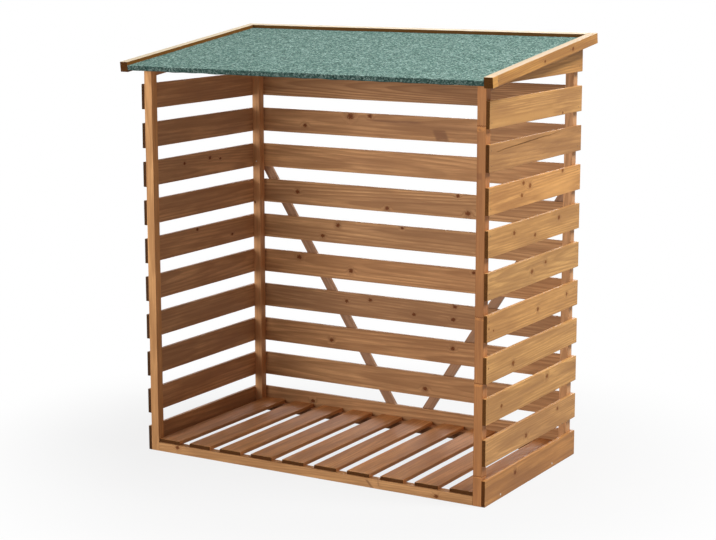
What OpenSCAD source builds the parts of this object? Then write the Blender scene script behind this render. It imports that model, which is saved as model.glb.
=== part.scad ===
// Slatted log store: four corner posts, three walls of spaced slats, an open front,
// a boarded floor and a single-pitch felted roof that falls towards the front.
// The ground is z = 0, the front faces -Y, and the origin is the middle of the overall footprint.

/* [Frame] */
// Width over the outer faces of the side slats
store_w = 1070; // [700:10:1600]
// Depth from the front faces of the front posts to the rear ends of the side slats
store_d = 570; // [400:5:900]
// Side of the square corner posts
post_side = 25; // [20:1:60]

/* [Slats] */
// Number of slat rows on each of the three walls
slat_rows = 11; // [8:1:13]
// Height of one slat
slat_h = 70; // [45:1:75]
// Thickness of one slat
slat_t = 10; // [8:1:20]
// Height from the ground to the top edges of the top back slat
wall_h = 1152; // [1100:1:1600]

/* [Roof] */
// Fall of the roof towards the front, in degrees
roof_pitch = 7; // [4:0.5:15]
// Height that the roof leaves of the top side slats at their front ends
slat_tip_h = 10; // [4:1:40]
// How far the roof reaches in front of the front posts
roof_front = 50; // [20:1:150]
// How far the roof board reaches past the outer faces of the side slats
roof_side = 7; // [2:1:40]
// Thickness of the roof board
roof_board_t = 9; // [6:1:20]
// Thickness of the mineral felt
felt_t = 2.5; // [1.5:0.5:5]

/* [Battens] */
// Width of the roof battens: verges, rear trim and rafters
batten_w = 25; // [18:1:50]
// Height of the roof battens
batten_h = 28; // [24:1:60]
// How far the verges and the rear trim hang below the roof board
verge_drop = 7; // [2:1:20]

/* [Floor] */
// Number of floor boards
floor_count = 10; // [6:1:12]
// Width of one floor board
floor_board_w = 70; // [40:1:75]
// Thickness of one floor board
floor_board_t = 10; // [8:1:25]
// Height of the bearers under the floor boards
bearer_h = 25; // [20:1:60]
// How far the floor boards stand back from the front face of the front bearer
floor_setback = 5; // [0:1:15]

/* [Brace] */
// Width of the two crossing braces behind the back wall
brace_w = 28; // [15:1:45]
// Thickness of the braces
brace_t = 10; // [6:1:20]
// How many rows below the top one the braces end
brace_head_rows_down = 3; // [2:1:5]
// How far the head of a brace lies below the top edge of the slat that it ends on
brace_head_drop = 2; // [1:1:35]
// Gap between the upper edges of the two braces at the ground
brace_foot_gap = 4; // [2:1:80]

/* [Hidden] */
rows = [for (row = [1:slat_rows]) row];

// Colours of the outer wood, the shaded wood, the floor, the roof board and the felt
honey_wood = [0.76, 0.54, 0.33];
brown_wood = [0.58, 0.38, 0.24];
floor_wood = [0.50, 0.33, 0.20];
board_wood = [0.66, 0.47, 0.30];
felt_green = [0.36, 0.49, 0.45];

// Plan: half widths, and the front-to-back places of the frame's faces
half_w = store_w / 2;
post_outer_x = half_w - slat_t;
post_inner_x = post_outer_x - post_side;
back_post_y = store_d - slat_t - post_side;
back_slat_y = store_d - slat_t;
inner_w = 2 * post_inner_x;
post_gap_d = back_post_y - post_side;

// Walls: the spacing of the slats
slat_pitch = (wall_h - slat_h) / (slat_rows - 1);
top_slat_z = wall_h - slat_h;

// Roof: the underside of its board at the front posts, and its length along the fall
roof_z = top_slat_z + slat_tip_h;
roof_half_w = half_w + roof_side;
board_len = (roof_front + store_d) / cos(roof_pitch);
roof_len = board_len + batten_w;
verge_top = batten_h - verge_drop;

// Overall footprint from front to back, whose middle is the origin
footprint_front = -roof_front - verge_top * sin(roof_pitch);
footprint_back = -roof_front + roof_len * cos(roof_pitch) + verge_drop * sin(roof_pitch);
mid_y = (footprint_front + footprint_back) / 2;

// Floor: the spacing of its boards
floor_pitch = (inner_w - floor_board_w) / (floor_count - 1);
floor_len = back_slat_y - floor_setback;

// Braces: their heads on a slat, their slope, and what their width takes up along and up a post
brace_head_h = wall_h - brace_head_rows_down * slat_pitch - brace_head_drop;
brace_foot_x = brace_foot_gap / 2;
brace_angle = atan(brace_head_h / (post_outer_x - brace_foot_x));
brace_foot_run = brace_w / sin(brace_angle);
brace_head_run = brace_w / cos(brace_angle);

felt_arc_steps = 6;

function roof_underside(y) = roof_z + y * tan(roof_pitch);
function slat_z(row) = (row - 1) * slat_pitch;

// Everything is drawn from the front faces of the front posts and moved to the origin at once
module placed() {
    translate([0, -mid_y, 0])
        children();
}

// A piece and its mirror image: side is -1 on the left and 1 on the right
module on_side(side) {
    mirror([side < 0 ? 1 : 0, 0, 0])
        children();
}

// A block whose section is drawn from the side, as depth and height, from x_low to x_high
module side_block(x_low, x_high, section) {
    translate([x_low, 0, 0])
        rotate([90, 0, 90])
            linear_extrude(x_high - x_low)
                polygon(section);
}

// What lies under the roof board
module under_roof() {
    section = [
        [0, 0],
        [store_d, 0],
        [store_d, roof_underside(store_d)],
        [0, roof_underside(0)]
    ];
    side_block(-half_w, half_w, section);
}

// The roof's own frame: forward edge of the board's underside, y up the fall, z square to it
module on_roof() {
    translate([0, -roof_front, roof_underside(-roof_front)])
        rotate([roof_pitch, 0, 0])
            children();
}

// A corner post with its top cut to the roof
module post(side, y_front) {
    y_back = y_front + post_side;
    section = [
        [y_front, 0],
        [y_back, 0],
        [y_back, roof_underside(y_back)],
        [y_front, roof_underside(y_front)]
    ];
    color(honey_wood)
        placed()
            on_side(side)
                side_block(post_inner_x, post_outer_x, section);
}

// A side slat on the outer faces of its posts; the top one is cut to the roof
module side_slat(side, row) {
    color(honey_wood)
        placed()
            on_side(side)
                intersection() {
                    translate([post_outer_x, 0, slat_z(row)])
                        cube([slat_t, store_d, slat_h]);
                    under_roof();
                }
}

// A back slat on the rear faces of the back posts, between the side slats
module back_slat(row) {
    color(brown_wood)
        placed()
            intersection() {
                translate([-post_outer_x, back_slat_y, slat_z(row)])
                    cube([2 * post_outer_x, slat_t, slat_h]);
                under_roof();
            }
}

// A flat brace on the outside of the back slats, from the middle of the bottom slat up to a post
module brace(side) {
    outline = [
        [brace_foot_x, 0],
        [post_outer_x, brace_head_h],
        [post_outer_x, brace_head_h - brace_head_run],
        [brace_foot_x + brace_foot_run, 0]
    ];
    color(brown_wood)
        placed()
            on_side(side)
                translate([0, store_d + brace_t, 0])
                    rotate([90, 0, 0])
                        linear_extrude(brace_t)
                            polygon(outline);
}

// A floor bearer between the two posts at the front or at the back
module cross_bearer(y_front) {
    color(floor_wood)
        placed()
            translate([-post_inner_x, y_front, 0])
                cube([inner_w, post_side, bearer_h]);
}

// A floor bearer between the front and the back post of one side
module side_bearer(side) {
    color(floor_wood)
        placed()
            on_side(side)
                translate([post_inner_x, post_side, 0])
                    cube([post_side, post_gap_d, bearer_h]);
}

// Spaced boards that run from front to back on the bearers
module floor_boards() {
    color(floor_wood)
        placed()
            for (number = [0:floor_count - 1])
                translate([number * floor_pitch - post_inner_x, floor_setback, bearer_h])
                    cube([floor_board_w, floor_len, floor_board_t]);
}

// A sloping batten under the roof board, between the posts of one side
module rafter(side) {
    y_back = back_post_y;
    rafter_h = batten_h / cos(roof_pitch);
    section = [
        [post_side, roof_underside(post_side) - rafter_h],
        [y_back, roof_underside(y_back) - rafter_h],
        [y_back, roof_underside(y_back)],
        [post_side, roof_underside(post_side)]
    ];
    color(brown_wood)
        placed()
            on_side(side)
                side_block(post_outer_x - batten_w, post_outer_x, section);
}

// The board of the roof, set back at the front by the felt that folds over its edge
module roof_board() {
    color(board_wood)
        placed()
            on_roof()
                translate([-roof_half_w, felt_t, 0])
                    cube([2 * roof_half_w, board_len - felt_t, roof_board_t]);
}

// Felt on the board, folded down over its front edge with a rounded bend
module roof_felt() {
    bend_step = 90 / felt_arc_steps;
    bend = [
        for (step = [0:felt_arc_steps])
            [
                felt_t * (1 - cos(step * bend_step)),
                roof_board_t + felt_t * sin(step * bend_step)
            ]
    ];
    section = concat(
        [[0, 0]],
        bend,
        [[board_len, roof_board_t + felt_t], [board_len, roof_board_t]],
        [[felt_t, roof_board_t], [felt_t, 0]]
    );
    color(felt_green)
        placed()
            on_roof()
                side_block(-roof_half_w, roof_half_w, section);
}

// A verge batten along one side of the roof
module verge(side) {
    color(honey_wood)
        placed()
            on_side(side)
                on_roof()
                    translate([roof_half_w, 0, -verge_drop])
                        cube([batten_w, roof_len, batten_h]);
}

// The batten that closes the rear edge of the roof between the verges
module rear_trim() {
    color(honey_wood)
        placed()
            on_roof()
                translate([-roof_half_w, board_len, -verge_drop])
                    cube([2 * roof_half_w, batten_w, batten_h]);
}

post(-1, 0);  // front_left_post
post(1, 0);  // front_right_post
post(-1, back_post_y);  // back_left_post
post(1, back_post_y);  // back_right_post
for (row = rows)
    side_slat(-1, row);
for (row = rows)
    side_slat(1, row);
for (row = rows)
    back_slat(row);
brace(-1);  // left_brace
brace(1);  // right_brace
cross_bearer(0);  // front_bearer
cross_bearer(back_post_y);  // back_bearer
side_bearer(-1);  // left_bearer
side_bearer(1);  // right_bearer
floor_boards();
rafter(-1);  // left_rafter
rafter(1);  // right_rafter
roof_board();
roof_felt();
verge(-1);  // left_verge
verge(1);  // right_verge
rear_trim();
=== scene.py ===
import math
import random

import bmesh
import bpy
from mathutils import Euler, Matrix, Vector, noise


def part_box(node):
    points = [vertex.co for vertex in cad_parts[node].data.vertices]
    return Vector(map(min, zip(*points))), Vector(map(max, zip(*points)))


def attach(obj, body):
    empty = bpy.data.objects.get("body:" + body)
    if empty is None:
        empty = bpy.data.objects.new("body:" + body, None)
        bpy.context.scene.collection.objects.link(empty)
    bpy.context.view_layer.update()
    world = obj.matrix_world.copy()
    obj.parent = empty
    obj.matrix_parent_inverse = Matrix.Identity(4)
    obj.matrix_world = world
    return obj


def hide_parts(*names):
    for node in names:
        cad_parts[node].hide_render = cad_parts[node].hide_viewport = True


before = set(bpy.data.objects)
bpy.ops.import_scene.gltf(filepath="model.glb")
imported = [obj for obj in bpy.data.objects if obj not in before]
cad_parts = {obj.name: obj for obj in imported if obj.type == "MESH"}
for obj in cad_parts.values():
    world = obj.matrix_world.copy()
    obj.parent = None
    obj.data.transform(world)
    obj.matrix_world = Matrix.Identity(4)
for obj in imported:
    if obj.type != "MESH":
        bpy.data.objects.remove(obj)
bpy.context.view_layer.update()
mm = 0.001
roofPitch = math.radians(7.0)  # how steeply the roof falls to the front
draw = random.Random(41)  # every random choice below comes from here, so each run is the same
noise.seed_set(41)  # the boards' unevenness would differ from run to run without it


# Shader helpers

def addNode(tree, kind, inputs=None, **settings):
    node = tree.nodes.new(kind)
    for name, value in settings.items():
        setattr(node, name, value)
    for name, value in (inputs or {}).items():
        wire(tree, value, node.inputs[name])
    return node


def wire(tree, value, socket):
    if isinstance(value, bpy.types.NodeSocket):
        tree.links.new(value, socket)
    else:
        socket.default_value = value


def sums(tree, operation, a, b=0.0, c=0.0):
    return addNode(tree, "ShaderNodeMath", {0: a, 1: b, 2: c}, operation=operation).outputs[0]


def fade(tree, value, start, end, low=0.0, high=1.0):
    node = addNode(tree, "ShaderNodeMapRange", interpolation_type="SMOOTHSTEP")
    sockets = ("Value", "From Min", "From Max", "To Min", "To Max")
    for name, number in zip(sockets, (value, start, end, low, high)):
        wire(tree, number, node.inputs[name])
    return node.outputs[0]


def blendColors(tree, share, a, b):
    node = addNode(tree, "ShaderNodeMix", data_type="RGBA", blend_type="MIX")
    for value, number in ((share, 0), (a, 6), (b, 7)):
        wire(tree, value, node.inputs[number])
    return node.outputs[2]


def vectorOf(tree, x=0.0, y=0.0, z=0.0):
    return addNode(tree, "ShaderNodeCombineXYZ", {0: x, 1: y, 2: z}).outputs[0]


def vectorMath(tree, operation, a, b):
    return addNode(tree, "ShaderNodeVectorMath", {0: a, 1: b}, operation=operation).outputs[0]


def lengthOf(tree, vector):
    return addNode(tree, "ShaderNodeVectorMath", {0: vector}, operation="LENGTH").outputs["Value"]


def cloud(tree, vector, stretch, detail, rough=0.5):
    inputs = {
        "Vector": vectorMath(tree, "MULTIPLY", vector, stretch),
        "Scale": 1.0, "Detail": detail, "Roughness": rough,
    }
    return addNode(tree, "ShaderNodeTexNoise", inputs).outputs["Fac"]


# 1 for rays that come from the camera, a reflection or a clear surface, else 0
def seenDirectly(tree):
    path = addNode(tree, "ShaderNodeLightPath")
    seen = sums(tree, "MAXIMUM", path.outputs["Is Camera Ray"], path.outputs["Is Glossy Ray"])
    return sums(tree, "MAXIMUM", seen, path.outputs["Is Transmission Ray"])


def newPaint(name):
    paint = bpy.data.materials.new(name)
    paint.use_nodes = True
    return paint, paint.node_tree, paint.node_tree.nodes["Principled BSDF"]


# Stage: camera, lamps, world and floor

cameraView = {
    "place": (2.4822, -4.2407, 1.4341),
    "turnDegrees": 30.35,  # to the left of straight ahead
    "tiltDegrees": 10.445,  # below the horizon
    "lens": 89.98,
    "sensorWidth": 36.0,
}

lamps = {
    "key": {"place": (3.6, 0.4, 5.6), "aim": (0.2, 0, 0.7), "size": 2.0, "watts": 430},
    "front": {"place": (-2.1, -5.4, 1.1), "aim": (0, 0, 0.6), "size": 2.4, "watts": 186},
    "back": {"place": (-1.9, 4.6, 1.9), "aim": (0, 0, 0.6), "size": 2.4, "watts": 70},
}

surroundings = {
    "skyLight": 0.20,
    "floorColor": (0.50, 0.50, 0.50),
    "floorRoughness": 0.9,
    "floorSize": 30.0,
    "floorDrop": 0.5 * mm,
    "whiteNear": 0.84,  # how white the floor is to the camera beside the store
    "whiteFrom": 0.6,
    "whiteTo": 1.3,
}


def makeCamera():
    data = bpy.data.cameras.new("photoCamera")
    data.lens = cameraView["lens"]
    data.sensor_width = cameraView["sensorWidth"]
    camera = bpy.data.objects.new("photoCamera", data)
    camera.location = cameraView["place"]
    tilt = math.radians(90 - cameraView["tiltDegrees"])
    camera.rotation_euler = (tilt, 0, math.radians(cameraView["turnDegrees"]))
    bpy.context.scene.collection.objects.link(camera)
    bpy.context.scene.camera = camera


def makeLamps():
    for name, lamp in lamps.items():
        data = bpy.data.lights.new(name, "AREA")
        data.size = lamp["size"]
        data.energy = lamp["watts"]
        light = bpy.data.objects.new(name, data)
        light.location = lamp["place"]
        direction = Vector(lamp["aim"]) - Vector(lamp["place"])
        light.rotation_euler = direction.to_track_quat("-Z", "Y").to_euler()
        bpy.context.scene.collection.objects.link(light)


def makeWorld():
    world = bpy.data.worlds.new("studio")
    world.use_nodes = True
    bpy.context.scene.world = world
    tree = world.node_tree
    backdrop = tree.nodes["Background"]
    backdrop.inputs["Color"].default_value = (1, 1, 1, 1)
    strength = fade(tree, seenDirectly(tree), 0.0, 1.0, surroundings["skyLight"], 1.0)
    tree.links.new(strength, backdrop.inputs["Strength"])


# A pale floor that keeps the store's shadow near it and is white to the camera farther out
def floorMaterial():
    paint, tree, shader = newPaint("paleFloor")
    shader.inputs["Base Color"].default_value = (*surroundings["floorColor"], 1)
    shader.inputs["Roughness"].default_value = surroundings["floorRoughness"]
    shader.inputs["Specular IOR Level"].default_value = 0.0
    away = lengthOf(tree, addNode(tree, "ShaderNodeTexCoord").outputs["Object"])
    start, end = surroundings["whiteFrom"], surroundings["whiteTo"]
    white = fade(tree, away, start, end, surroundings["whiteNear"], 1.0)
    share = sums(tree, "MULTIPLY", white, seenDirectly(tree))
    glow = addNode(tree, "ShaderNodeEmission", {"Color": (1, 1, 1, 1), "Strength": 1.0})
    mixed = addNode(tree, "ShaderNodeMixShader", {0: share, 1: shader.outputs[0], 2: glow.outputs[0]})
    tree.links.new(mixed.outputs[0], tree.nodes["Material Output"].inputs["Surface"])
    return paint


def makeFloor():
    plan = bmesh.new()
    bmesh.ops.create_grid(plan, x_segments=1, y_segments=1, size=surroundings["floorSize"] / 2)
    bmesh.ops.translate(plan, verts=plan.verts, vec=(0, 0, -surroundings["floorDrop"]))
    mesh = bpy.data.meshes.new("studioFloor")
    plan.to_mesh(mesh)
    plan.free()
    floor = bpy.data.objects.new("studioFloor", mesh)
    bpy.context.scene.collection.objects.link(floor)
    mesh.materials.append(floorMaterial())


makeCamera()
makeLamps()
makeWorld()
makeFloor()
bpy.context.scene.view_settings.view_transform = "Standard"
print("stage: camera, lamps, world and floor are set")


# Wood: rings round a pith beside the board, fibres along it, knots, stains and darker end grain

woodLook = {
    "color": (0.510, 0.265, 0.082),  # mean colour under the honey stain; the shares are of it
    "earlyShare": (1.38, 1.40, 1.34),  # pale spring wood
    "lateShare": (0.66, 0.56, 0.42),  # dark line at the end of each ring
    "stainShare": (0.55, 0.45, 0.36),
    "knotShare": (0.29, 0.13, 0.05),
    "endShare": (0.18, 0.122, 0.08),  # sawn ends, between endDark and endPale times this
    "endDark": 0.75,
    "endPale": 1.3,
    "endStrength": 0.95,
    "endRoughness": 0.85,
    "tone": 1.0,
    "bloom": 0.027,  # painted reflection: a pale veil on the long faces that stands for their gloss, missing on knots and sawn ends
    "ringWidth": 5.0 * mm,
    "ringContrast": 0.50,
    "waviness": 7 * mm,
    "streakContrast": 0.50,
    "blotchContrast": 0.60,
    "fibreContrast": 0.25,
    "gloss": 0.08,
    "roughness": 0.46,
    "roughnessSpread": 0.18,
    "relief": 0.45 * mm,
    "reliefStrength": 0.6,
    "ringRelief": 0.6,
    "fibreRelief": 0.5,
    "paintedTopSheen": 0.0,  # how strongly a painted sheen makes the upward faces pale
    "paintedTopSheenColor": (0.66, 0.56, 0.39),
    "feltSide": 0,  # 1 or -1 says which way the felt lies, and the faces beside it get painted shade
    "feltShadeShare": (0.36, 0.31, 0.28),
}

# Noise patterns: stretch along, across and through the board, detail, and roughness where it isn't 0.5
grain = {
    "wave": ((2.8, 10, 10), 2.0),
    "streak": ((5, 150, 150), 4.0, 0.65),
    "blotch": ((3.6, 26, 26), 3.0, 0.6),
    "fibre": ((45, 1300, 1300), 2.0),
    "sawnEnd": ((300, 300, 300), 3.0),
    "knotEdge": ((260, 260, 1), 3.0),
    "jointHighlight": ((160, 70, 5), 2.0),
}

# The values of a pattern, or of a face's slope, between which its effect comes in
fades = {
    "lateRise": (0.20, 0.85),
    "lateFall": (1.0, 0.85),
    "streak": (0.36, 0.66),
    "blotch": (0.36, 0.64),
    "fibre": (0.35, 0.70),
    "patch": (0.30, 0.58),
    "jointHighlight": (0.38, 0.56),
    "sawnEnd": (0.3, 0.7),
    "endFacing": (0.55, 0.9),
    "upward": (0.7, 0.95),
    "besideFelt": (0.35, 0.60),
}
leastPatch = 0.35  # of a patch's strength, where the streaks are palest

# Reaches are in radii of the knot
knotForm = {
    "alongShare": 0.8,  # below 1 makes a knot longer along the board
    "unevenness": 2.4,
    "pushFade": (4.0, 0.5),
    "push": 1.5,
    "coreFade": (1.7, 0.7),
    "coreStrength": 0.92,
    "haloPerMetre": 160.0,  # how fast the wood darkens with the push
    "haloStrength": 0.45,
}

jointForm = {
    "fingerWidth": 5 * mm,
    "fingerLength": 2 * mm,
    "glueFade": (1.8 * mm, 0.6 * mm),
    "glueStrength": 0.6,
    "glueRelief": 0.6,
    "lipGap": 1.5 * mm,  # from the joint to the painted highlight below it
    "lipSoftness": 1 * mm,
    "jointHighlightStrength": 0.65,
    "jointHighlightShare": (1.55, 1.60, 1.65),
    "oddStrength": 0.25,  # every other length is darker
    "jump": 3.7,  # how far the grain shifts from one length to the next
}


# A share of the look's mean colour; the painted veil of reflection lightens it, and warmth moves it from
# blue to red
def shade(look, share, tone, warmth=0.0, bloom=0.0):
    red, green, blue = (look["color"][axis] * share[axis] * tone + bloom for axis in range(3))
    return (red * (1 + warmth), green, blue * (1 - warmth), 1)


def longFaceColor(look, share, timber):
    return shade(look, share, timber["tone"], timber["warmth"], look["bloom"])


# The point on the board, as along, across and depth, and the three parts of its normal
def boardCoordinates(tree, centre, order, turn):
    source = addNode(tree, "ShaderNodeTexCoord")
    place, normal = source.outputs["Object"], source.outputs["Normal"]
    if any(turn):
        place = addNode(tree, "ShaderNodeMapping", {"Vector": place, "Rotation": turn}).outputs[0]
        normal = addNode(tree, "ShaderNodeMapping", {"Vector": normal, "Rotation": turn}).outputs[0]
    split = addNode(tree, "ShaderNodeSeparateXYZ", {0: place})
    facing = addNode(tree, "ShaderNodeSeparateXYZ", {0: normal})
    board = [sums(tree, "SUBTRACT", split.outputs[axis], centre[axis]) for axis in order]
    return board, facing.outputs


# 1 inside a soft-edged rectangle on the board, else 0; lean makes it slant
def patchOn(tree, along, across, start, end, softness, low, high, sideSoftness, lean):
    slanted = sums(tree, "MULTIPLY_ADD", across, lean, along)
    inside = 1.0
    for value, near, far, soft in ((slanted, start, end, softness), (across, low, high, sideSoftness)):
        half = (far - near) / 2 * mm
        away = sums(tree, "ABSOLUTE", sums(tree, "SUBTRACT", value, (near + far) / 2 * mm))
        edge = fade(tree, away, half + soft * mm, max(half - soft * mm, 0.0))
        inside = sums(tree, "MULTIPLY", inside, edge)
    return inside


# How far the knots push the rings aside, and where their dark cores are
def knotParts(tree, along, across, knots):
    push, core = 0.0, 0.0
    if not knots:
        return push, core
    uneven = cloud(tree, vectorOf(tree, along, across), *grain["knotEdge"])
    uneven = sums(tree, "SUBTRACT", uneven, 0.5)
    for fromMiddle, offAxis, size in knots:
        radius = size * mm
        nearAlong = sums(tree, "SUBTRACT", along, fromMiddle * mm)
        nearAlong = sums(tree, "MULTIPLY", nearAlong, knotForm["alongShare"])
        nearAcross = sums(tree, "SUBTRACT", across, offAxis * mm)
        away = lengthOf(tree, vectorOf(tree, nearAlong, nearAcross))
        away = sums(tree, "MULTIPLY_ADD", uneven, knotForm["unevenness"] * radius, away)
        start, end = (reach * radius for reach in knotForm["pushFade"])
        push = sums(tree, "ADD", push, fade(tree, away, start, end, 0.0, knotForm["push"] * radius))
        start, end = (reach * radius for reach in knotForm["coreFade"])
        core = sums(tree, "MAXIMUM", core, fade(tree, away, start, end))
    return push, core


# The number of the length that a point is on, the thin glue lines, and the pale band below each, a
# painted highlight where the step between lengths would catch light
def jointParts(tree, along, across, joints):
    saw = sums(tree, "PINGPONG", across, jointForm["fingerWidth"] / 2)
    slant = sums(tree, "MULTIPLY", saw, 2 * jointForm["fingerLength"] / jointForm["fingerWidth"])
    number, glue, jointHighlight = 0.0, 0.0, 0.0
    for place, lipWidth in joints:
        past = sums(tree, "SUBTRACT", sums(tree, "ADD", along, slant), place * mm)
        number = sums(tree, "ADD", number, sums(tree, "GREATER_THAN", past, 0.0))
        line = fade(tree, sums(tree, "ABSOLUTE", past), *jointForm["glueFade"])
        glue = sums(tree, "MAXIMUM", glue, line)
        half, soft = lipWidth / 2 * mm, jointForm["lipSoftness"]
        away = sums(tree, "ABSOLUTE", sums(tree, "ADD", past, half + jointForm["lipGap"]))
        band = fade(tree, away, half + soft, half - soft)
        spread = cloud(tree, vectorOf(tree, along, across, number), *grain["jointHighlight"])
        band = sums(tree, "MULTIPLY", band, fade(tree, spread, *fades["jointHighlight"]))
        jointHighlight = sums(tree, "MAXIMUM", jointHighlight, band)
    return number, glue, jointHighlight


# What differs from board to board: the pith's place and lean, the rings and the tone
def drawTimber(look):
    return {
        "seed": Vector([draw.uniform(-40, 40) for _ in range(3)]),
        "pithAcross": draw.uniform(-28, 28) * mm,
        "pithDepth": draw.choice((-1, 1)) * draw.uniform(18, 60) * mm,
        "leanAcross": draw.uniform(-0.03, 0.03),
        "leanDepth": draw.uniform(-0.035, 0.035),
        "ringWidth": look["ringWidth"] * draw.uniform(0.7, 1.3),
        "ringContrast": look["ringContrast"] * draw.uniform(0.7, 1.2),
        "tone": look["tone"] * draw.uniform(0.96, 1.04),
        "warmth": draw.uniform(-0.025, 0.03),
    }


# How much late wood there is at a point, from 0 in the pale part of a ring
def ringPattern(tree, board, drift, push, look, timber):
    along, across, depth = board
    offAcross = sums(tree, "MULTIPLY_ADD", along, timber["leanAcross"], across)
    offAcross = sums(tree, "SUBTRACT", offAcross, timber["pithAcross"])
    offDepth = sums(tree, "MULTIPLY_ADD", along, timber["leanDepth"], depth)
    offDepth = sums(tree, "SUBTRACT", offDepth, timber["pithDepth"])
    wave = sums(tree, "SUBTRACT", cloud(tree, drift, *grain["wave"]), 0.5)
    radius = lengthOf(tree, vectorOf(tree, offAcross, offDepth))
    radius = sums(tree, "MULTIPLY_ADD", wave, look["waviness"], radius)
    radius = sums(tree, "ADD", radius, push)
    ring = sums(tree, "FRACT", sums(tree, "DIVIDE", radius, timber["ringWidth"]))
    rise, fall = fade(tree, ring, *fades["lateRise"]), fade(tree, ring, *fades["lateFall"])
    return sums(tree, "MULTIPLY", sums(tree, "MULTIPLY", rise, fall), timber["ringContrast"])


# The rings with streaks, blotches and fibres of late wood along the board
def grainColor(tree, drift, lateWood, streak, fibre, look, timber):
    early = longFaceColor(look, look["earlyShare"], timber)
    late = longFaceColor(look, look["lateShare"], timber)
    blotch = cloud(tree, drift, *grain["blotch"])
    color = blendColors(tree, lateWood, early, late)
    for pattern, name in ((streak, "streak"), (blotch, "blotch"), (fibre, "fibre")):
        share = fade(tree, pattern, *fades[name], 0.0, look[name + "Contrast"])
        color = blendColors(tree, share, color, late)
    return color


# Patches of darker stain, or of paler wood where the strength is below 0, uneven along the streaks
def addPatches(tree, color, board, streak, patches, look, timber):
    for *outline, strength in patches:
        least, most = leastPatch * abs(strength), abs(strength)
        uneven = fade(tree, streak, *fades["patch"], least, most)
        share = sums(tree, "MULTIPLY", patchOn(tree, *board[:2], *outline), uneven)
        change = look["stainShare"] if strength > 0 else look["earlyShare"]
        color = blendColors(tree, share, color, longFaceColor(look, change, timber))
    return color


def tint(tree, color, share, strength, target):
    return blendColors(tree, sums(tree, "MULTIPLY", share, strength), color, target)


def addJoints(tree, color, length, glue, jointHighlight, look, timber):
    odd = sums(tree, "PINGPONG", length, 1.0)
    late = longFaceColor(look, look["lateShare"], timber)
    color = tint(tree, color, odd, jointForm["oddStrength"], late)
    # The pale band below each joint is a painted highlight
    jointHighlightColor = shade(look, jointForm["jointHighlightShare"], timber["tone"])
    color = tint(tree, color, jointHighlight, jointForm["jointHighlightStrength"], jointHighlightColor)
    glueColor = shade(look, look["knotShare"], timber["tone"])
    return tint(tree, color, glue, jointForm["glueStrength"], glueColor)


def addKnots(tree, color, push, core, look, timber):
    halo = sums(tree, "MINIMUM", sums(tree, "MULTIPLY", push, knotForm["haloPerMetre"]), 1.0)
    late = longFaceColor(look, look["lateShare"], timber)
    color = tint(tree, color, halo, knotForm["haloStrength"], late)
    knotColor = shade(look, look["knotShare"], timber["tone"])
    return tint(tree, color, core, knotForm["coreStrength"], knotColor)


# Painted light on the roof's battens: a painted sheen that makes the upward faces pale, and painted
# shade on the faces beside the felt
def addPaintedLight(tree, color, facing, order, look, timber):
    if look["paintedTopSheen"]:
        upward = fade(tree, facing[2], *fades["upward"], 0.0, look["paintedTopSheen"])
        color = blendColors(tree, upward, color, (*look["paintedTopSheenColor"], 1))
    if look["feltSide"]:
        sideAxis = 0 if order[0] == 1 else 1  # the level one across the batten
        # Painted shade on the batten's face beside the felt
        toFelt = sums(tree, "MULTIPLY", facing[sideAxis], look["feltSide"])
        feltShadeColor = shade(look, look["feltShadeShare"], timber["tone"])
        color = blendColors(tree, fade(tree, toFelt, *fades["besideFelt"]), color, feltShadeColor)
    return color


def addSawnEnds(tree, color, drift, endFacing, look, timber):
    share = fade(tree, endFacing, *fades["endFacing"], 0.0, look["endStrength"])
    mottled = fade(tree, cloud(tree, drift, *grain["sawnEnd"]), *fades["sawnEnd"])
    dark = shade(look, look["endShare"], look["endDark"] * timber["tone"])
    pale = shade(look, look["endShare"], look["endPale"] * timber["tone"])
    return blendColors(tree, share, color, blendColors(tree, mottled, dark, pale))


# order says which of the object's axes run along, across and through the board
def woodMaterial(name, centre, order, turn, look, knots=(), joints=(), patches=()):
    paint, tree, shader = newPaint(name)
    board, facing = boardCoordinates(tree, centre, order, turn)
    along, across, depth = board
    timber = drawTimber(look)
    drift = vectorMath(tree, "ADD", vectorOf(tree, along, across, depth), timber["seed"])
    if joints:
        length, glue, jointHighlight = jointParts(tree, along, across, joints)
        jump = vectorOf(tree, 0.0, sums(tree, "MULTIPLY", length, jointForm["jump"]))
        drift = vectorMath(tree, "ADD", drift, jump)
    push, core = knotParts(tree, along, across, knots)
    lateWood = ringPattern(tree, board, drift, push, look, timber)
    streak = cloud(tree, drift, *grain["streak"])
    fibre = cloud(tree, drift, *grain["fibre"])
    endFacing = sums(tree, "ABSOLUTE", facing[order[0]])

    color = grainColor(tree, drift, lateWood, streak, fibre, look, timber)
    color = addPatches(tree, color, board, streak, patches, look, timber)
    if joints:
        color = addJoints(tree, color, length, glue, jointHighlight, look, timber)
    if knots:
        color = addKnots(tree, color, push, core, look, timber)
    color = addPaintedLight(tree, color, facing, order, look, timber)
    color = addSawnEnds(tree, color, drift, endFacing, look, timber)
    tree.links.new(color, shader.inputs["Base Color"])

    spread = look["roughnessSpread"]
    rough = sums(tree, "MULTIPLY_ADD", streak, spread, look["roughness"] - spread / 2)
    rough = fade(tree, endFacing, *fades["endFacing"], rough, look["endRoughness"])
    tree.links.new(rough, shader.inputs["Roughness"])
    shader.inputs["Specular IOR Level"].default_value = look["gloss"]
    relief = sums(tree, "MULTIPLY", fibre, look["fibreRelief"])
    relief = sums(tree, "MULTIPLY_ADD", lateWood, look["ringRelief"], relief)
    if joints:
        relief = sums(tree, "SUBTRACT", relief, sums(tree, "MULTIPLY", glue, jointForm["glueRelief"]))
    inputs = {"Height": relief, "Distance": look["relief"], "Strength": look["reliefStrength"]}
    bump = addNode(tree, "ShaderNodeBump", inputs)
    tree.links.new(bump.outputs["Normal"], shader.inputs["Normal"])
    return paint


print("shaders: wood is ready")


# Boards: each takes its solid from the frame, with eased edges and a slightly uneven surface

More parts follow.
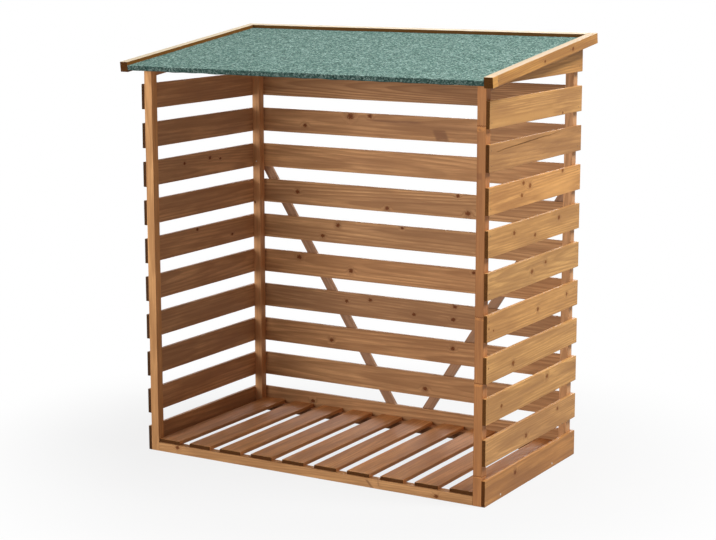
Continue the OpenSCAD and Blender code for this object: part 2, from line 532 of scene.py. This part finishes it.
boardFinish = {
    "edgeRadius": 1.2 * mm,
    "edgeSegments": 2,
    "sharpFrom": math.radians(20),
    "flatUnder": math.radians(1),
    "mergeWithin": 0.01 * mm,
    "stationEvery": 45 * mm,
    "unevenness": 0.3 * mm,
    "unevenScale": 14,
}

flatTurn = (0.0, 0.0, 0.0)
roofTurn = (-roofPitch, 0.0, 0.0)
axisX, axisY, axisZ = Vector((1, 0, 0)), Vector((0, 1, 0)), Vector((0, 0, 1))


# The node's own solid as a clean mesh with whole faces
def solidCopy(node):
    shape = bmesh.new()
    shape.from_mesh(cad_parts[node].data)
    bmesh.ops.remove_doubles(shape, verts=shape.verts, dist=boardFinish["mergeWithin"])
    flat = boardFinish["flatUnder"]
    bmesh.ops.dissolve_limit(shape, angle_limit=flat, verts=shape.verts, edges=shape.edges)
    return shape


def cutStations(shape, direction, every):
    reach = [vert.co.dot(direction) for vert in shape.verts]
    count = max(1, round((max(reach) - min(reach)) / every))
    for number in range(1, count):
        share = min(reach) + (max(reach) - min(reach)) * number / count
        everything = shape.verts[:] + shape.edges[:] + shape.faces[:]
        bmesh.ops.bisect_plane(shape, geom=everything, plane_co=direction * share, plane_no=direction)


def easeEdges(shape):
    sharpFrom = boardFinish["sharpFrom"]
    sharp = [edge for edge in shape.edges if edge.is_manifold and edge.calc_face_angle() > sharpFrom]
    bmesh.ops.bevel(
        shape, geom=sharp, offset=boardFinish["edgeRadius"], offset_type="OFFSET", affect="EDGES",
        segments=boardFinish["edgeSegments"], profile=0.5, material=-1, clamp_overlap=True,
    )
    bmesh.ops.dissolve_degenerate(shape, dist=boardFinish["mergeWithin"], edges=shape.edges)


def roughen(shape, seed):
    for vert in shape.verts:
        uneven = noise.noise_vector(vert.co * boardFinish["unevenScale"] + seed)
        vert.co += uneven * boardFinish["unevenness"]


def finishPiece(name, shape, paint, nodes):
    mesh = bpy.data.meshes.new(name)
    bmesh.ops.recalc_face_normals(shape, faces=shape.faces)
    shape.to_mesh(mesh)
    shape.free()
    piece = bpy.data.objects.new(name, mesh)
    bpy.context.scene.collection.objects.link(piece)
    mesh.materials.append(paint)
    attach(piece, "root")
    if nodes:
        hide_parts(*nodes)


def middleOf(node):
    low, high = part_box(node)
    return (low + high) / 2


def makeBoard(node, order, direction, look, turn=flatTurn, knots=(), joints=(), patches=()):
    shape = solidCopy(node)
    centre = middleOf(node)
    if any(turn):
        centre = Euler(turn).to_matrix() @ centre
    cutStations(shape, direction, boardFinish["stationEvery"])
    easeEdges(shape)
    roughen(shape, Vector((draw.uniform(-9, 9), 3, 7)))
    paint = woodMaterial(node + "_wood", centre, order, turn, look, knots, joints, patches)
    finishPiece(node + "_timber", shape, paint, [node])


def tinted(**changes):
    return {**woodLook, **changes}


# Posts: the front right one is redder and finger-jointed from short lengths

honeyPost = tinted(color=(0.60, 0.31, 0.125), ringWidth=4.0 * mm)
redPost = tinted(color=(0.475, 0.194, 0.056), ringWidth=4.0 * mm)
backPost = tinted(color=(0.58, 0.31, 0.145), ringWidth=4.0 * mm)
# Joints are (from the middle of the post's height, width of the painted highlight below) in mm
postJoints = [(-466, 3), (-221, 7), (-49, 7), (435, 13)]
# Patches are (from, to, softness along; the same across; lean; darkness, or paleness below 0)
postPatches = [
    (300, 316, 3, -14, 2, 3, 0.0, 0.9),
    (455, 530, 24, -14, 14, 8, 0.0, -0.35),
    (120, 300, 90, -14, 14, 30, 0.0, 0.35),
]

makeBoard("front_left_post", (2, 0, 1), axisZ, honeyPost)
makeBoard("front_right_post", (2, 0, 1), axisZ, redPost, joints=postJoints, patches=postPatches)
makeBoard("back_left_post", (2, 0, 1), axisZ, backPost, knots=[(68, -6, 2.5)])
makeBoard("back_right_post", (2, 0, 1), axisZ, backPost)
print("posts: made")


# Slats, numbered from the ground up; a knot is (along and across from the middle, radius) in mm

rightKnots = {
    10: [(157, -30, 3.0)],
    8: [(-83, 25, 4.5), (-43, 14, 5.0), (-91, -6, 4.0), (164, 31, 4.5)],
    7: [(-134, 10, 4.5), (-6, -13, 4.0), (146, 13, 5.0)],
    6: [(65, 12, 4.0), (-21, -1, 5.0)],
    5: [(208, 8, 4.0), (20, -1, 4.5), (-274, 0, 2.2), (-247, -9, 2.2)],
    4: [(-128, -11, 5.5), (-273, 5, 2.0)],
    3: [(88, 18, 5.0), (-194, -2, 4.0)],
    2: [(-40, -10, 5.0), (162, 18, 4.0)],
    1: [(-105, 13, 5.0)],
}
rightColors = {
    11: (0.560, 0.275, 0.076),
    9: (0.412, 0.200, 0.062),
    8: (0.560, 0.285, 0.088),
    2: (0.480, 0.240, 0.076),
    1: (0.420, 0.186, 0.046),
}
rightPatches = {
    10: [
        (-260, 160, 30, 2, 26, 10, 0.0, 0.45), (-280, 100, 18, -32, -12, 6, 0.0, -0.3),
        (120, 285, 60, -34, 34, 20, 0.0, 0.35),
    ],
    9: [(-200, 150, 30, -10, 12, 10, 0.3, 0.35)],
    8: [(-285, -60, 54, -34, 30, 18, 0.2, 0.30), (20, 240, 42, -30, 10, 14, 0.0, -0.5)],
    6: [(-280, 60, 4, 10, 22, 4, -0.4, 0.45)],
    4: [(-280, -60, 30, -26, -4, 10, 0.3, 0.35)],
    3: [(-285, 280, 3, 4, 12, 3, 0.0, 0.40), (-230, -60, 18, -24, -8, 6, 0.0, 0.30)],
    2: [(-200, 0, 30, -6, 12, 10, 0.0, 0.30)],
    1: [(-150, 60, 54, -34, 10, 18, 0.4, 0.45), (-285, -200, 42, -10, 20, 14, 0.0, 0.30)],
}
backKnots = {
    9: [(-196, 24, 7.0), (-129, 27, 4.5), (-353, -11, 4.5)],
    7: [(-381, 3, 4.5), (-71, -24, 4.5), (162, 29, 4.0), (195, -20, 5.5)],
    6: [(-239, 20, 4.5), (-20, 29, 3.5), (-292, -16, 4.5)],
    5: [(-376, 20, 5.5), (-194, -6, 5.0), (216, 26, 4.0)],
    4: [(-209, 9, 4.0), (-127, 20, 4.5), (156, 29, 4.5), (151, -10, 4.5), (21, -8, 4.0)],
    3: [(150, 12, 4.5), (-262, -9, 4.5)],
    2: [(60, -12, 5.0)],
    1: [(-330, 8, 4.5), (318, -14, 4.0)],
}
backPatches = {
    11: [(-300, 300, 24, -30, -8, 8, 0.0, 0.35)],
    9: [
        (-120, 40, 30, 12, 18, 4, 0.0, 1.6), (78, 118, 6, -33, -2, 3, 0.4, 1.1),
        (-60, 400, 24, 0, 12, 8, 0.0, 0.45), (-530, -330, 90, -34, 30, 30, 0.0, 0.35),
    ],
    8: [(-380, -60, 72, -34, 20, 24, 0.3, 0.35)],
    7: [(-530, -330, 90, -34, 34, 30, 0.0, 0.35), (-120, 120, 42, -12, 14, 14, 0.3, 0.30)],
    6: [(-240, 300, 24, 10, 30, 8, 0.0, 0.35)],
    4: [(-530, 530, 18, -36, 36, 6, 0.0, 0.45), (-420, -200, 90, -30, 30, 30, 0.0, 0.45)],
}
leftKnots = {
    8: [(24, 15, 4.0), (-102, 12, 3.5), (77, 8, 3.0)],
    6: [(-45, 29, 3.5), (134, -10, 3.5)],
}
leftPatches = {
    10: [(-60, 240, 90, -34, 34, 30, 0.0, 0.35)],
    9: [(60, 285, 90, -34, 34, 30, 0.4, 0.40), (-250, -120, 48, -30, 0, 16, 0.0, 0.35)],
    8: [(60, 150, 18, -30, -14, 6, 0.0, -0.7)],
    7: [(-285, 0, 72, -20, 20, 24, 0.0, 0.15)],
}
rightKnotShare = (0.36, 0.18, 0.02)
# The looks below set their own painted veil of reflection on the long faces
leftLook = tinted(
    color=(0.520, 0.285, 0.135), bloom=0.045, ringWidth=6.5 * mm, endShare=(0.09, 0.062, 0.045),
)
backLook = tinted(
    color=(0.488, 0.254, 0.108), bloom=0.030, ringWidth=7.5 * mm, ringContrast=0.75, streakContrast=0.60,
)
backTones = {10: 0.87, 9: 0.94, 8: 1.16, 7: 1.12, 5: 0.97, 4: 0.93}
rowCount = sum(name.startswith("back_slat_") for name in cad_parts)

for row in range(1, rowCount + 1):
    rightLook = tinted(color=rightColors.get(row, woodLook["color"]), knotShare=rightKnotShare)
    for side, look, knots, patches in (
        ("left", leftLook, leftKnots, leftPatches), ("right", rightLook, rightKnots, rightPatches),
    ):
        spots, tints = knots.get(row, ()), patches.get(row, ())
        makeBoard(f"{side}_slat_{row}", (1, 2, 0), axisY, look, knots=spots, patches=tints)
    spots, tints = backKnots.get(row, ()), backPatches.get(row, ())
    look = {**backLook, "tone": backTones.get(row, 1.0)}
    makeBoard(f"back_slat_{row}", (0, 2, 1), axisX, look, knots=spots, patches=tints)
print("slats: made")


# Crack: a thin open split along the ninth right slat, up to near its rear end

crack = {
    "slat": "right_slat_9",
    "from": (-241 * mm, 14 * mm),  # along and across from the slat's middle
    "to": (161 * mm, 31.3 * mm),
    "width": 2.9 * mm,
    "depth": 7.0 * mm,
    "startShare": 0.1,  # how far along its swell it starts, so its front end is open
    "leastOpening": 0.08,
    "wander": 1.6 * mm,
    "wanderScale": 9,
    "overrun": 2 * mm,
    "stations": 26,
}


# A wedge along the crack, widest in its middle, that reaches out past the slat's face
def crackBlade():
    middle, face = middleOf(crack["slat"]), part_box(crack["slat"])[1].x
    blade = bmesh.new()
    rings = []
    for station in range(crack["stations"] + 1):
        share = station / crack["stations"]
        swell = share * (1 - crack["startShare"]) + crack["startShare"]
        opening = math.sin(math.pi * min(1.0, swell)) ** 0.5 + crack["leastOpening"]
        y = middle.y + crack["from"][0] + (crack["to"][0] - crack["from"][0]) * share
        z = middle.z + crack["from"][1] + (crack["to"][1] - crack["from"][1]) * share
        z += noise.noise(Vector((share * crack["wanderScale"], 0.4, 2))) * crack["wander"]
        half, outside = crack["width"] * opening / 2, face + crack["overrun"]
        points = ((outside, z + half), (outside, z - half), (face - crack["depth"] * opening, z))
        rings.append([blade.verts.new((x, y, height)) for x, height in points])
    for near, far in zip(rings, rings[1:]):
        for number in range(3):
            after = (number + 1) % 3
            blade.faces.new((near[number], near[after], far[after], far[number]))
    blade.faces.new(rings[0])
    blade.faces.new(rings[-1])
    bmesh.ops.recalc_face_normals(blade, faces=blade.faces)
    mesh = bpy.data.meshes.new("crackBlade")
    blade.to_mesh(mesh)
    blade.free()
    return mesh


def cutCrack():
    bladeMesh = crackBlade()
    cutter = bpy.data.objects.new("crackBlade", bladeMesh)
    bpy.context.scene.collection.objects.link(cutter)
    board = bpy.data.objects[crack["slat"] + "_timber"]
    cut = board.modifiers.new("crack", "BOOLEAN")
    cut.object = cutter
    cut.operation = "DIFFERENCE"
    cut.solver = "EXACT"
    bpy.context.view_layer.update()
    sight = bpy.context.evaluated_depsgraph_get()
    whole, board.data = board.data, bpy.data.meshes.new_from_object(board.evaluated_get(sight))
    board.modifiers.clear()
    bpy.data.objects.remove(cutter)
    for spare in (whole, bladeMesh):
        bpy.data.meshes.remove(spare)


cutCrack()
print("crack: cut")


# Braces, floor and roof timbers

floorLook = tinted(color=(0.60, 0.282, 0.098), endShare=(0.11, 0.075, 0.045))
battenLook = tinted(color=(0.450, 0.208, 0.042), ringWidth=4.0 * mm, endShare=(0.15, 0.105, 0.080))
innerLook = tinted(color=(0.48, 0.25, 0.13))
# The braces have a stronger painted veil of reflection
braceLook = tinted(color=(0.375, 0.205, 0.115), bloom=0.040)
bearerLook = tinted(color=(0.52, 0.27, 0.11))
roofLook = tinted(color=(0.50, 0.28, 0.12), ringWidth=9 * mm)
bearerKnots = [(-435, 6, 4.0), (394, -4, 4.0)]
# A long knot cut at a slant, seen as two dark lines with paler wood between them
bearerPatches = [
    (188, 195, 3, -12, 9, 2, 0.95, 1.7), (219, 223, 2, -3, 11, 2, 0.2, 1.0),
    (199, 217, 6, -12, 12, 3, 0.3, -0.4), (120, 180, 30, -12, -4, 4, 0.0, 0.3),
]
# The first right verge patch, a pale band near the front end, is a painted highlight where a bevelled
# corner would catch light; the second is a darker stain
rightVergePatches = [(-340, -296, 3, -16, 16, 3, 0.0, -0.9), (220, 300, 36, -16, 4, 12, 0.0, 0.5)]
# Each verge has the way to the felt, how strong the painted sheen on its top is, and its patches
verges = {
    "left_verge": (1, 0.90, []),
    "right_verge": (-1, 0.55, rightVergePatches),
}
vergeKnots = [(-20, -2, 3.0), (158, 0, 4.0)]
# The rear trim also gets the painted sheen on its top and painted shade on its face beside the felt
trimLook = {**battenLook, "feltSide": -1, "paintedTopSheen": 0.85}

braceLow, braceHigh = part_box("right_brace")
braceAngle = math.atan2(braceHigh.z - braceLow.z, braceHigh.x - braceLow.x)
for node, side in (("left_brace", -1), ("right_brace", 1)):
    turn = (0.0, side * braceAngle, 0.0)
    direction = Vector((side * math.cos(braceAngle), 0, math.sin(braceAngle)))
    makeBoard(node, (0, 2, 1), direction, braceLook, turn)
makeBoard("front_bearer", (0, 2, 1), axisX, bearerLook, knots=bearerKnots, patches=bearerPatches)
makeBoard("back_bearer", (0, 2, 1), axisX, innerLook)
for node in ("left_bearer", "right_bearer"):
    makeBoard(node, (1, 2, 0), axisY, innerLook)
makeBoard("floor_boards", (1, 0, 2), axisY, floorLook)
for node in ("left_rafter", "right_rafter"):
    makeBoard(node, (1, 2, 0), axisY, innerLook, roofTurn)
for node, (feltSide, paintedTopSheen, patches) in verges.items():
    look = {**battenLook, "feltSide": feltSide, "paintedTopSheen": paintedTopSheen}
    makeBoard(node, (1, 2, 0), axisY, look, roofTurn, knots=vergeKnots, patches=patches)
makeBoard("rear_trim", (0, 2, 1), axisX, trimLook, roofTurn)
makeBoard("roof_board", (0, 1, 2), axisX, roofLook, roofTurn)
print("boards: braces, floor and roof timbers are made")


# Felt: one slightly wavy sheet that folds down over the front edge of the roof board

feltSheet = {
    "thickness": 2.5 * mm,
    "boardThickness": 9 * mm,
    "bendSteps": 4,
    "columns": 140,
    "rows": 44,
    "wave": 0.7 * mm,
    "waveScale": 9,
    "hemDrop": 2.5 * mm,  # how far the fold hangs below the roof board
    "hemWave": 1.6 * mm,
    "hemScale": 22,
    "hemLift": 0.4,  # how far the hem is lifted on average, as a share of its wave
    "edgeWave": 1.2 * mm,
    "edgeScale": 16,
}

feltLook = {
    "dark": (0.004, 0.022, 0.017),
    "middle": (0.070, 0.156, 0.130),
    "light": (0.470, 0.640, 0.570),
    "middleShares": (0.40, 0.62),  # between them the granules have the middle colour
    "granule": 3.3 * mm,
    "clump": 6.0 * mm,
    "clumpShare": 0.35,
    "patches": ((16, 16, 16), 3.0),
    "patchFade": (0.35, 0.70),
    "patchStrength": 0.2,
    "foldFade": (-0.5, -0.9),
    "foldShade": 0.50,
    "hemShadowColor": (0.022, 0.042, 0.038),
    "hemStrength": 0.85,
    "hemHeight": 3 * mm,
    "hemRagged": 5 * mm,
    "hemPattern": ((90, 90, 0), 3.0),
    "roughness": 0.92,
    "gloss": 0.25,
    "relief": 0.7 * mm,
    "reliefStrength": 0.9,
}


# Granules of one size in dark, middle or light green, and the distance from their middles
def granules(tree, place, size):
    cells = addNode(tree, "ShaderNodeTexVoronoi", {"Vector": place, "Scale": 1 / size})
    pick = addNode(tree, "ShaderNodeSeparateColor", {0: cells.outputs["Color"]}).outputs[0]
    ramp = addNode(tree, "ShaderNodeValToRGB", {0: pick})
    stops = ramp.color_ramp.elements
    stops[0].position, stops[0].color = 0.0, (*feltLook["dark"], 1)
    stops[1].position, stops[1].color = 1.0, (*feltLook["light"], 1)
    for position in feltLook["middleShares"]:
        stops.new(position).color = (*feltLook["middle"], 1)
    return ramp.outputs[0], cells.outputs["Distance"]


def feltMaterial():
    paint, tree, shader = newPaint("mineralFelt")
    source = addNode(tree, "ShaderNodeTexCoord")
    place, normal = source.outputs["Object"], source.outputs["Normal"]
    fine, distance = granules(tree, place, feltLook["granule"])
    coarse, _ = granules(tree, place, feltLook["clump"])
    color = blendColors(tree, feltLook["clumpShare"], fine, coarse)
    patchy = cloud(tree, place, *feltLook["patches"])
    patchy = fade(tree, patchy, *feltLook["patchFade"], 0.0, feltLook["patchStrength"])
    color = blendColors(tree, patchy, color, (*feltLook["middle"], 1))
    # The fold that faces forward is darkened towards black: painted shade
    forward = addNode(tree, "ShaderNodeSeparateXYZ", {0: normal}).outputs[1]
    fold = fade(tree, forward, *feltLook["foldFade"], 0.0, 1 - feltLook["foldShade"])
    color = blendColors(tree, fold, color, (0, 0, 0, 1))
    # A ragged dark band along the hem: painted shadow at the lower edge of the fold
    height = addNode(tree, "ShaderNodeSeparateXYZ", {0: place}).outputs[2]
    ragged = cloud(tree, place, *feltLook["hemPattern"])
    ragged = sums(tree, "MULTIPLY_ADD", ragged, feltLook["hemRagged"], height)
    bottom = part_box("roof_felt")[0].z
    hem = fade(tree, ragged, bottom + feltLook["hemHeight"], bottom, 0.0, feltLook["hemStrength"])
    color = blendColors(tree, hem, color, (*feltLook["hemShadowColor"], 1))
    tree.links.new(color, shader.inputs["Base Color"])
    shader.inputs["Roughness"].default_value = feltLook["roughness"]
    shader.inputs["Specular IOR Level"].default_value = feltLook["gloss"]
    relief = sums(tree, "SUBTRACT", 1.0, distance)
    inputs = {"Height": relief, "Distance": feltLook["relief"], "Strength": feltLook["reliefStrength"]}
    bump = addNode(tree, "ShaderNodeBump", inputs)
    tree.links.new(bump.outputs["Normal"], shader.inputs["Normal"])
    return paint


# The sheet's closed section: the outer skin from the rear to the hem, then back along the inner skin
def feltProfile(length):
    thick, board = feltSheet["thickness"], feltSheet["boardThickness"]
    outer = []
    for step in range(feltSheet["rows"]):
        outer.append((length - (length - thick) * step / feltSheet["rows"], board + thick))
    for step in range(feltSheet["bendSteps"] + 1):
        angle = math.radians(90) * step / feltSheet["bendSteps"]
        outer.append((thick * (1 - math.sin(angle)), board + thick * math.cos(angle)))
    outer += [(0.0, board / 2), (0.0, -feltSheet["hemDrop"])]
    inner = [(thick, -feltSheet["hemDrop"]), (thick, board), (length, board)]
    return outer, inner


def makeFelt():
    low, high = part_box("roof_felt")
    board = feltSheet["boardThickness"]
    start = Vector((0, low.y + board * math.sin(roofPitch), low.z))
    length = (high.y - start.y + board * math.sin(roofPitch)) / math.cos(roofPitch)
    upFall = Vector((0, math.cos(roofPitch), math.sin(roofPitch)))
    square = Vector((0, -math.sin(roofPitch), math.cos(roofPitch)))
    outer, inner = feltProfile(length)
    shape = bmesh.new()
    rings = []
    for column in range(feltSheet["columns"] + 1):
        x = low.x + (high.x - low.x) * column / feltSheet["columns"]
        hemNoise = noise.noise(Vector((x * feltSheet["hemScale"], 4, 1))) + feltSheet["hemLift"]
        ring = []
        for number, (along, up) in enumerate(outer + inner):
            place = start + upFall * along + square * up + axisX * x
            bulge = noise.noise(place * feltSheet["waveScale"]) * feltSheet["wave"]
            if number < len(outer):
                place += square * bulge if up > board else -upFall * abs(bulge)
            if up < 0:
                place += square * hemNoise * feltSheet["hemWave"]
            if column in (0, feltSheet["columns"]):
                inward = -1 if column else 1
                ragged = noise.noise(Vector((inward, along * feltSheet["edgeScale"], 2)))
                place.x += inward * abs(ragged) * feltSheet["edgeWave"]
            ring.append(shape.verts.new(place))
        rings.append(ring)
    count = len(rings[0])
    for left, right in zip(rings, rings[1:]):
        for number in range(count):
            after = (number + 1) % count
            shape.faces.new((left[number], left[after], right[after], right[number]))
    ends = [shape.faces.new(rings[0]), shape.faces.new(rings[-1])]
    bmesh.ops.triangulate(shape, faces=ends)
    finishPiece("roof_felt_sheet", shape, feltMaterial(), ["roof_felt"])


makeFelt()
print("felt: the sheet is made")


# Fasteners: small pin heads at the crossings, and the screws that the photo shows, all mirrored

fasteners = {
    "pinRadius": 1.3 * mm,
    "vergePinRadius": 1.82 * mm,
    "screwRadius": 3.2 * mm,
    "headHeight": 0.5 * mm,
    "headTaper": 0.75,
    "headSegments": 10,
    "slatMiddle": 35 * mm,  # above the lower edge of a slat
    "pinSpread": 20 * mm,  # above and below the middle of a slat
    "jitter": 2.0 * mm,
    "slatScrews": (-192 * mm, 133 * mm),  # along the lowest side slats, from their middle
    "slatScrewHeight": 11 * mm,
    "vergePins": (31 * mm, 470 * mm),  # along the verges, from their front ends
    "postScrewHeight": 774 * mm,
}

metals = {
    "dark_pins": {"color": (0.16, 0.13, 0.11), "roughness": 0.4},
    "pale_screws": {"color": (0.80, 0.76, 0.66), "roughness": 0.25},
}

metalWear = {
    "stain": ((700, 700, 700), 3.0),
    "stainFade": (0.4, 0.65),
    "stainShare": 0.45,
    "roughnessSpread": 0.3,
    "metallic": 0.8,
}


def metalMaterial(name):
    paint, tree, shader = newPaint(name)
    color, roughness = metals[name]["color"], metals[name]["roughness"]
    stain = cloud(tree, addNode(tree, "ShaderNodeTexCoord").outputs["Object"], *metalWear["stain"])
    dull = tuple(part * metalWear["stainShare"] for part in color)
    tone = blendColors(tree, fade(tree, stain, *metalWear["stainFade"]), (*color, 1), (*dull, 1))
    tree.links.new(tone, shader.inputs["Base Color"])
    rough = sums(tree, "MULTIPLY_ADD", stain, metalWear["roughnessSpread"], roughness)
    tree.links.new(rough, shader.inputs["Roughness"])
    shader.inputs["Metallic"].default_value = metalWear["metallic"]
    return paint


# Half of a head's cone stands out of the wood
def addHead(shape, place, outward, radius):
    turn = Vector(outward).to_track_quat("Z", "Y").to_matrix().to_4x4()
    bmesh.ops.create_cone(
        shape, cap_ends=True, segments=fasteners["headSegments"], radius1=radius,
        radius2=radius * fasteners["headTaper"], depth=2 * fasteners["headHeight"],
        matrix=Matrix.Translation(place) @ turn,
    )


def jitter():
    return draw.uniform(-fasteners["jitter"], fasteners["jitter"])


def outerFace(node, sign):
    low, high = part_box(node)
    return high.x if sign > 0 else low.x


# Two pins at each crossing; the low front ends of the top side slats have none
def pinSlats(pins, row):
    levels = [fasteners["slatMiddle"] + way * fasteners["pinSpread"] for way in (-1, 1)]
    for side, sign in (("left", -1), ("right", 1)):
        slat = f"{side}_slat_{row}"
        for end in ("front", "back"):
            if row == rowCount and end == "front":
                continue
            post = middleOf(f"{end}_{side}_post")
            for level in levels:
                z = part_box(slat)[0].z + level + jitter()
                spot = Vector((outerFace(slat, sign), post.y + jitter(), z))
                addHead(pins, spot, (sign, 0, 0), fasteners["pinRadius"])
    low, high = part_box(f"back_slat_{row}")
    for side in ("left", "right"):
        post = middleOf(f"back_{side}_post")
        for level in levels:
            z = low.z + level + jitter()
            spot = Vector((post.x + jitter(), high.y, z))
            addHead(pins, spot, (0, 1, 0), fasteners["pinRadius"])


def pinVerge(pins, verge, sign):
    low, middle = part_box(verge)[0], middleOf(verge)
    for along in fasteners["vergePins"]:
        y = low.y + along * math.cos(roofPitch)
        z = middle.z + (y - middle.y) * math.tan(roofPitch)
        spot = Vector((outerFace(verge, sign), y, z))
        addHead(pins, spot, (sign, 0, 0), fasteners["vergePinRadius"])


def screwSide(screws, side, sign):
    slat = f"{side}_slat_1"
    for along in fasteners["slatScrews"]:
        spot = Vector((outerFace(slat, sign), middleOf(slat).y + along, fasteners["slatScrewHeight"]))
        addHead(screws, spot, (sign, 0, 0), fasteners["screwRadius"])
    post = f"back_{side}_post"
    spot = Vector((middleOf(post).x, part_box(post)[0].y, fasteners["postScrewHeight"]))
    addHead(screws, spot, (0, -1, 0), fasteners["screwRadius"])


def makeFasteners():
    pins, screws = bmesh.new(), bmesh.new()
    for row in range(1, rowCount + 1):
        pinSlats(pins, row)
    for side, sign in (("left", -1), ("right", 1)):
        pinVerge(pins, f"{side}_verge", sign)
        screwSide(screws, side, sign)
    finishPiece("pin_heads", pins, metalMaterial("dark_pins"), [])
    finishPiece("screw_heads", screws, metalMaterial("pale_screws"), [])


makeFasteners()
print("fasteners: made")
